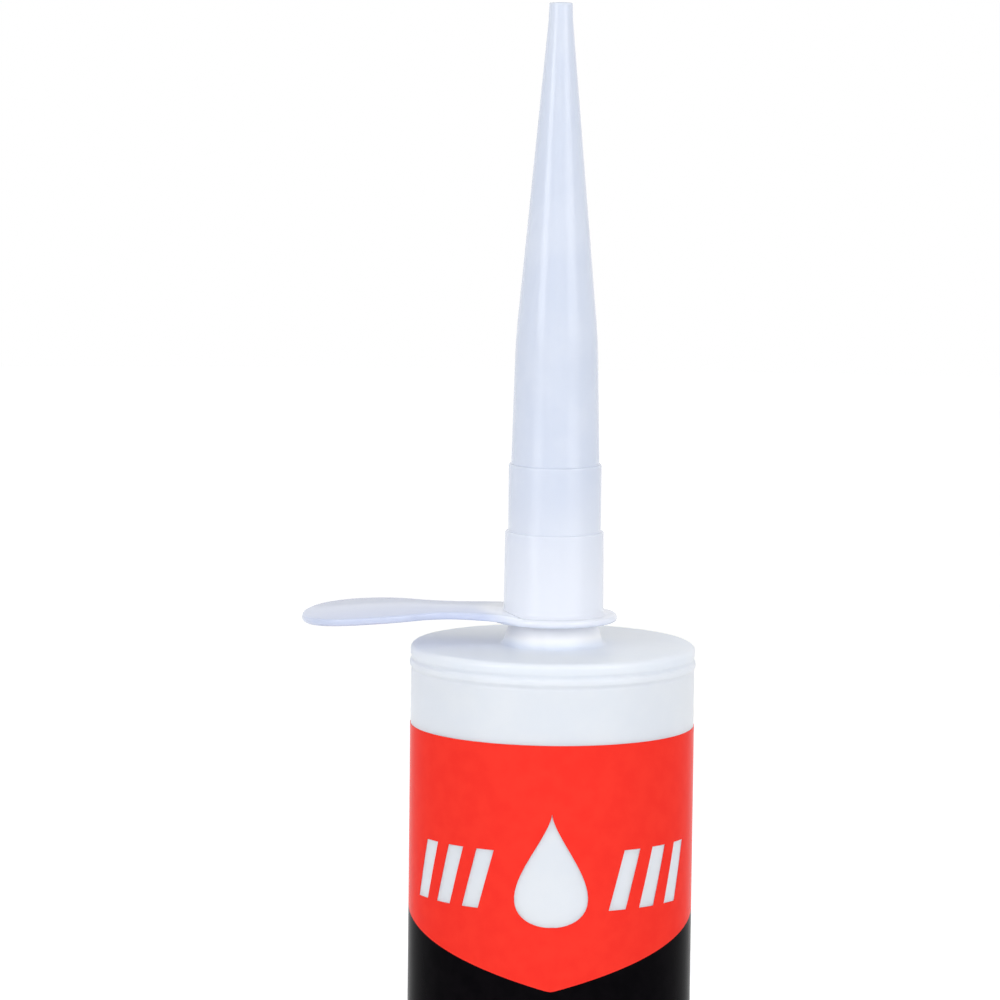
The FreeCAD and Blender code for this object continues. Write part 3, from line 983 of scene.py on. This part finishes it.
def make_ribs():
    """One rib, drawn from the side and given its thickness, then repeated."""
    outer = SKIRT_INSIDE + RIB_OVERLAP
    top = land_top - RIB_OVERLAP
    side_view = [(RIB_ROOT, boss_foot), (outer, boss_foot), (outer, top), (RIB_ROOT, top)]
    work = bmesh.new()
    half = RIB_THICKNESS / 2
    faces = []
    for offset in (-half, half):
        corners = [(radius * MM, offset * MM, height * MM) for radius, height in side_view]
        faces.append([work.verts.new(corner) for corner in corners])
    near, far = faces
    band(work, near, far)
    work.faces.new(near)
    work.faces.new(far)
    ribs = mesh_object("piston_ribs", work)
    modifier = ribs.modifiers.new("Ring of ribs", "NODES")
    modifier.node_group = ring_tree()
    set_inputs(modifier, Count=RIB_COUNT, Material=PISTON_PLASTIC)
    settle(ribs)
    make_sound(ribs)
    return ribs


unite(piston, make_ribs())
place_piece(piston, "piston", "piston_plastic", "piston")

# %% [markdown]
# ## The paste
#
# The sealant fills the barrel from the piston's crown to the shoulder, and the neck up to the
# membrane. It is soft: as the piston comes up, the column shortens towards the shoulder, down to
# the thin layer that is left. The plug in the neck never moves.

# %% Paste material
def paste_material():
    """White paste: smooth, slightly wet, with the swirls it was filled with."""
    material, tree, shader = new_material("sealant_paste")
    swirl = noise(tree, object_place(tree), 60.0, 4.0, Distortion=1.5)
    yellowish = (0.86, 0.85, 0.82, 1.0)
    white = (0.9, 0.89, 0.87, 1.0)
    two_tones(tree, shader, swirl, yellowish, white, start=0.35, end=0.65)
    connect(tree, shader, "Roughness", between(tree, swirl, 0.25, 0.45))
    roughen(tree, shader, swirl, 0.5, 0.15)
    return material


PASTE = paste_material()

# %% Paste column and neck plug
PASTE_GAP = 0.1
COLUMN_SEGMENTS = 96
PLUG_SEGMENTS = 64

paste_top = UNDERSIDE - PASTE_GAP
paste_side = BORE - PASTE_GAP
column = turned(
    "paste_column",
    [
        (AXIS, crown_top + PASTE_GAP, 0),
        (CROWN_RADIUS, crown_top + PASTE_GAP, 0.4),
        (LAND, land_top + PASTE_GAP, 0.3),
        (paste_side, land_top + PASTE_GAP, 0.3),
        (paste_side, paste_top, 1.1),
        (AXIS, paste_top, 0),
    ],
    COLUMN_SEGMENTS,
    PASTE,
)
place_piece(column, "barrel", "sealant_paste", "sealant")
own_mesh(column)

plug_top = NECK_TOP - MEMBRANE - PASTE_GAP
plug = turned(
    "paste_neck_plug",
    [
        (AXIS, paste_top + PASTE_GAP, 0),
        (NECK_BORE - PASTE_GAP, paste_top + PASTE_GAP, 0.2),
        (NECK_BORE - PASTE_GAP, plug_top, 0.3),
        (AXIS, plug_top, 0),
    ],
    PLUG_SEGMENTS,
    PASTE,
)
place_piece(plug, "barrel", "sealant_paste")

# %% [markdown]
# ## The ink
#
# The print is a thin film of ink. Red lies above and black below, and their border is a chevron
# that points down in front. A plain drop and slanted stripes are left bare. Each field is drawn
# flat, as distance round the barrel and height, filled as a 2D curve with holes, cut in narrow
# strips and wrapped on the barrel. Solidify then gives the film its thickness.

# %% Ink outlines
INK = 0.1
INK_TOP = BARREL_HEIGHT - 14.2
INK_FOOT = 12.0
INK_GAP = 0.8
CHEVRON_POINT = INK_TOP - 43.4
CHEVRON_SIDE = CHEVRON_POINT + 22.2
HALF_GIRTH = math.pi * BARREL_RADIUS - INK_GAP / 2
DROP_MIDDLE = INK_TOP - 22.0
DROP_LENGTH = 20.0
DROP_WIDTH = 13.0
STRIPE_MIDDLE = INK_TOP - 24.0
STRIPE_LENGTH = 10.5
STRIPE_WIDTH = 3.4
STRIPE_PITCH = 6.2
STRIPE_FIRST = 13.5
STRIPE_LEAN = 3.0
STRIPES_A_SIDE = 3
DROP_STEPS = 64
FINEST = 0.1


def drop_outline():
    """A falling drop: a circle pinched to a point on top."""
    fullest = math.sin(math.radians(120)) * math.sin(math.radians(60)) ** 2
    half_width = DROP_WIDTH / 2 / fullest
    points = []
    for step in range(DROP_STEPS):
        turn = math.tau * step / DROP_STEPS
        across = half_width * math.sin(turn) * math.sin(turn / 2) ** 2
        if step in (0, DROP_STEPS // 2) or abs(across) > FINEST:
            points.append((across, DROP_MIDDLE + DROP_LENGTH / 2 * math.cos(turn)))
    return points


def stripe_outline(middle):
    """A slanted stripe about a place on the girth."""
    half_width = STRIPE_WIDTH / 2
    half_lean = STRIPE_LEAN / 2
    foot = STRIPE_MIDDLE - STRIPE_LENGTH / 2
    head = STRIPE_MIDDLE + STRIPE_LENGTH / 2
    return [
        (middle - half_width - half_lean, foot),
        (middle + half_width - half_lean, foot),
        (middle + half_width + half_lean, head),
        (middle - half_width + half_lean, head),
    ]


red_outlines = [
    [
        (-HALF_GIRTH, INK_TOP),
        (-HALF_GIRTH, CHEVRON_SIDE),
        (0.0, CHEVRON_POINT),
        (HALF_GIRTH, CHEVRON_SIDE),
        (HALF_GIRTH, INK_TOP),
    ],
    drop_outline(),
]
for direction in (-1, 1):
    for number in range(STRIPES_A_SIDE):
        red_outlines.append(stripe_outline(direction * (STRIPE_FIRST + number * STRIPE_PITCH)))
black_outlines = [
    [
        (-HALF_GIRTH, CHEVRON_SIDE),
        (-HALF_GIRTH, INK_FOOT),
        (HALF_GIRTH, INK_FOOT),
        (HALF_GIRTH, CHEVRON_SIDE),
        (0.0, CHEVRON_POINT),
    ]
]
print("red outlines:", len(red_outlines), "black outlines:", len(black_outlines))

# %% Ink materials
INK_IOR = 1.29
GLOSS_SPREAD = 0.05
PEEL_STRENGTH = 0.25
PEEL_DEPTH = 0.01


def ink(name, deep, pale, roughness, specular):
    """Glossy ink: slightly uneven in tone and gloss, with a faint orange-peel surface."""
    material, tree, shader = new_material(name)
    place = object_place(tree)
    mottle = noise(tree, place, 350.0, 3.0)
    peel = noise(tree, place, 900.0, 1.0)
    gloss = between(tree, mottle, roughness - GLOSS_SPREAD, roughness + GLOSS_SPREAD)
    two_tones(tree, shader, mottle, deep, pale)
    connect(tree, shader, "Roughness", gloss)
    connect(tree, shader, "IOR", INK_IOR)
    connect(tree, shader, "Specular IOR Level", specular)
    roughen(tree, shader, peel, PEEL_STRENGTH, PEEL_DEPTH)
    return material


deep_red = (0.955, 0.037, 0.025, 1.0)
light_red = (0.98, 0.043, 0.028, 1.0)
RED_INK = ink("red_ink", deep_red, light_red, 0.24, 0.03)
deep_black = (0.0024, 0.0021, 0.0028, 1.0)
light_black = (0.004, 0.0033, 0.0043, 1.0)
BLACK_INK = ink("black_ink", deep_black, light_black, 0.22, 0.02)
print("inks:", RED_INK.name, BLACK_INK.name)

# %% Wrap the ink on the barrel
STRIP_ANGLE = math.radians(2)
SAME_SPOT = 0.0001
SLIVER = 0.001


def flat_field(name, outlines):
    """Fill outlines as one 2D curve, inner ones left open, and return a mesh."""
    curve = bpy.data.curves.new(name, "CURVE")
    curve.dimensions = "2D"
    curve.fill_mode = "BOTH"
    for outline in outlines:
        spline = curve.splines.new("POLY")
        spline.points.add(len(outline) - 1)
        for point, (girth, height) in zip(spline.points, outline):
            point.co = (girth, height, 0.0, 1.0)
        spline.use_cyclic_u = True
    sheet = bpy.data.objects.new(name + "_sheet", curve)
    bpy.context.scene.collection.objects.link(sheet)
    bpy.context.view_layer.update()
    evaluated = sheet.evaluated_get(bpy.context.evaluated_depsgraph_get())
    mesh = bpy.data.meshes.new_from_object(evaluated)
    bpy.data.objects.remove(sheet)
    return mesh


def ink_film(name, outlines, material):
    """Wrap a flat field on the barrel and give it the thickness of the film."""
    mesh = flat_field(name, outlines)
    work = bmesh.new()
    work.from_mesh(mesh)
    bmesh.ops.remove_doubles(work, verts=work.verts, dist=SAME_SPOT)
    before = 0
    while before != len(work.faces):
        before = len(work.faces)
        bmesh.ops.dissolve_degenerate(work, edges=work.edges, dist=SLIVER)
    strip = STRIP_ANGLE * BARREL_RADIUS
    reach = math.ceil(HALF_GIRTH / strip)
    for number in range(-reach, reach + 1):
        cut_across(work, number * strip)
    radius = BARREL_RADIUS * MM
    for vertex in work.verts:
        angle = vertex.co.x / BARREL_RADIUS
        height = vertex.co.y * MM
        vertex.co = (radius * math.sin(angle), -radius * math.cos(angle), height)
    bmesh.ops.recalc_face_normals(work, faces=work.faces)
    sample = next(iter(work.faces))
    if sample.normal.dot(sample.calc_center_median() * Vector((1.0, 1.0, 0.0))) < 0:
        bmesh.ops.reverse_faces(work, faces=work.faces)
    work.to_mesh(mesh)
    work.free()
    mesh.materials.clear()
    mesh.materials.append(material)
    film = new_object(name, mesh)
    thicken = film.modifiers.new("Film", "SOLIDIFY")
    thicken.thickness = INK * MM
    thicken.offset = 1.0
    settle(film)
    make_sound(film)
    return film


red = ink_film("red_field", red_outlines, RED_INK)
place_piece(red, "barrel", "red_ink", "red_print")
black = ink_film("black_field", black_outlines, BLACK_INK)
place_piece(black, "barrel", "black_ink", "black_print")

# %% [markdown]
# ## Studio
#
# The photograph is a bright product shot: soft light from all round, and two tall softboxes in
# front, left and right, whose lower edges stop at the height of the nozzle. That is why the cone,
# which leans back, mirrors them as two streaks while the upright collars and barrel don't. A
# panel above the camera fills the front. A weak softbox lights the back; it is kept out of
# reflections, as it would glare on the spatula. The world looks white to the camera and in
# reflections, and lights the object more gently, mostly from the sides. The floor is pale and
# lit by the lamps, so it keeps the object's shadow; a glow that only the camera and reflections
# meet lifts it to white, a little more far away, where the lamps don't reach.

# %% World
LOW_AMBIENT = 0.8
HIGH_AMBIENT = 0.52
WHITE = (1.0, 1.0, 1.0, 1.0)


def shown(tree):
    """1 for rays that show a thing: straight from the camera, mirrored or through glass."""
    rays = tree.nodes.new("ShaderNodeLightPath")
    seen = calculate(tree, "MAXIMUM", rays.outputs["Is Camera Ray"], rays.outputs["Is Glossy Ray"])
    return calculate(tree, "MAXIMUM", seen, rays.outputs["Is Transmission Ray"])


def choose(tree, factor, first, second):
    """Mix two shaders by a factor."""
    node = tree.nodes.new("ShaderNodeMixShader")
    for number, value in enumerate((factor, first, second)):
        tree.links.new(value, node.inputs[number])
    return node.outputs[0]


def make_world():
    """White where it is seen or mirrored; as a light softer, and softest overhead."""
    world = bpy.data.worlds.new("studio")
    world.use_nodes = True
    tree = world.node_tree
    tree.nodes.clear()
    direction = tree.nodes.new("ShaderNodeTexCoord").outputs["Generated"]
    rise = add_node(tree, "ShaderNodeSeparateXYZ", Vector=direction).outputs["Z"]
    fade = calculate(tree, "MULTIPLY", ramp(tree, rise, 0.1, 0.9), HIGH_AMBIENT - LOW_AMBIENT)
    strength = calculate(tree, "ADD", fade, LOW_AMBIENT)
    cool_white = (0.98, 0.99, 1.0, 1.0)
    lighting = add_node(tree, "ShaderNodeBackground", Color=cool_white, Strength=strength)
    backdrop = add_node(tree, "ShaderNodeBackground", Color=WHITE, Strength=1.0)
    choice = choose(tree, shown(tree), lighting.outputs[0], backdrop.outputs[0])
    output = tree.nodes.new("ShaderNodeOutputWorld")
    tree.links.new(choice, output.inputs[0])
    bpy.context.scene.world = world


make_world()
print("world:", bpy.context.scene.world.name)

# %% Lamps
SOFTBOX_DISTANCE = 1.2
SOFTBOX_FOOT = 0.29
SOFTBOX_HEIGHT = 1.0
SIDE_AZIMUTH = 48.0
LEFT_WIDTH = 0.46
LEFT_GLOW = 3.2
RIGHT_WIDTH = 0.68
RIGHT_GLOW = 2.15
BACK_WIDTH = 0.7
BACK_GLOW = 0.6
PANEL_PLACE = Vector((0.0, -1.1, 0.9))
PANEL_WIDTH = 0.7
PANEL_GLOW = 1.2


def area_lamp(name, place, target, width, height, glow):
    """A flat lamp turned to a target; its power follows from its size, so its glow is even."""
    light = bpy.data.lights.new(name, "AREA")
    light.shape = "RECTANGLE"
    light.size = width
    light.size_y = height
    light.energy = glow * math.pi * width * height
    lamp = bpy.data.objects.new(name, light)
    lamp.location = place
    lamp.rotation_euler = (target - place).to_track_quat("-Z", "Y").to_euler()
    lamp.visible_camera = False
    bpy.context.scene.collection.objects.link(lamp)
    return lamp


def softbox(name, azimuth, width, glow):
    """A tall lamp that stands round the object and faces its axis."""
    turn = math.radians(azimuth)
    level = SOFTBOX_FOOT + SOFTBOX_HEIGHT / 2
    place = Vector((math.sin(turn), -math.cos(turn), 0.0)) * SOFTBOX_DISTANCE
    place.z = level
    return area_lamp(name, place, Vector((0.0, 0.0, level)), width, SOFTBOX_HEIGHT, glow)


softbox("softbox_left", -SIDE_AZIMUTH, LEFT_WIDTH, LEFT_GLOW)
softbox("softbox_right", SIDE_AZIMUTH, RIGHT_WIDTH, RIGHT_GLOW)
back = softbox("softbox_back", 180.0, BACK_WIDTH, BACK_GLOW)
back.visible_glossy = False
shoulder = Vector((0.0, 0.0, BARREL_HEIGHT * MM))
area_lamp("front_panel", PANEL_PLACE, shoulder, PANEL_WIDTH, PANEL_WIDTH, PANEL_GLOW)
print("lamps:", len(bpy.data.lights))

# %% Floor
FLOOR_RADIUS = 2.5
FLOOR_CORNERS = 96
GLOW_NEAR = 0.4
GLOW_FAR = 0.52
NEAR_UP_TO = 0.3
FAR_FROM = 0.9


def floor_material():
    """Pale floor that looks white, keeps the object's shadow and is clear from below."""
    material, tree, shader = new_material("pale_floor")
    place = object_place(tree)
    grain = noise(tree, place, 40.0, 2.0)
    two_tones(tree, shader, grain, (0.79, 0.79, 0.79, 1.0), (0.81, 0.81, 0.81, 1.0))
    connect(tree, shader, "Roughness", 0.9)
    connect(tree, shader, "Specular IOR Level", 0.1)
    distance = add_node(tree, "ShaderNodeVectorMath")
    distance.operation = "LENGTH"
    connect(tree, distance, "0", place)
    far = ramp(tree, distance.outputs["Value"], NEAR_UP_TO, FAR_FROM)
    glow = calculate(tree, "MULTIPLY", far, GLOW_FAR - GLOW_NEAR)
    glow = calculate(tree, "ADD", glow, GLOW_NEAR)
    connect(tree, shader, "Emission Color", WHITE)
    connect(tree, shader, "Emission Strength", calculate(tree, "MULTIPLY", glow, shown(tree)))
    from_below = tree.nodes.new("ShaderNodeNewGeometry").outputs["Backfacing"]
    clear = tree.nodes.new("ShaderNodeBsdfTransparent")
    sided = choose(tree, from_below, shader.outputs[0], clear.outputs[0])
    tree.links.new(sided, tree.nodes["Material Output"].inputs[0])
    return material


def make_floor():
    """A round sheet under the cartridge."""
    mesh = bpy.data.meshes.new("floor")
    corners = []
    for number in range(FLOOR_CORNERS):
        angle = math.tau * number / FLOOR_CORNERS
        corners.append((FLOOR_RADIUS * math.cos(angle), FLOOR_RADIUS * math.sin(angle), 0.0))
    mesh.from_pydata(corners, [], [list(range(FLOOR_CORNERS))])
    mesh.materials.append(floor_material())
    new_object("floor", mesh)


make_floor()
print("floor:", FLOOR_RADIUS, "m in radius")

# %% [markdown]
# ## Camera
#
# A long lens about 1.1 m away, a little above the nozzle and looking down seven degrees. The
# cartridge stands a little right of the middle and leans to the right by less than a degree, so
# the camera is moved aside and rolled by as much.

# %% Camera
CAMERA_DISTANCE = 1.09
CAMERA_HEIGHT = 0.3785
TARGET_HEIGHT = 0.2404
ASIDE = -9.65 * MM
LENS = 224.7
SENSOR = 36.0
ROLL = math.radians(0.66)


def make_camera():
    """The photograph's own view."""
    data = bpy.data.cameras.new("portrait")
    data.lens = LENS
    data.sensor_width = SENSOR
    camera = bpy.data.objects.new("portrait", data)
    camera.location = (ASIDE, -CAMERA_DISTANCE, CAMERA_HEIGHT)
    aim = Vector((ASIDE, 0.0, TARGET_HEIGHT)) - camera.location
    turn = aim.to_track_quat("-Z", "Y") @ Quaternion((0.0, 0.0, 1.0), ROLL)
    camera.rotation_euler = turn.to_euler()
    bpy.context.scene.collection.objects.link(camera)
    bpy.context.scene.camera = camera


make_camera()
bpy.context.scene.view_settings.view_transform = "Standard"
print("camera:", bpy.context.scene.camera.name, "with a lens of", LENS, "mm")
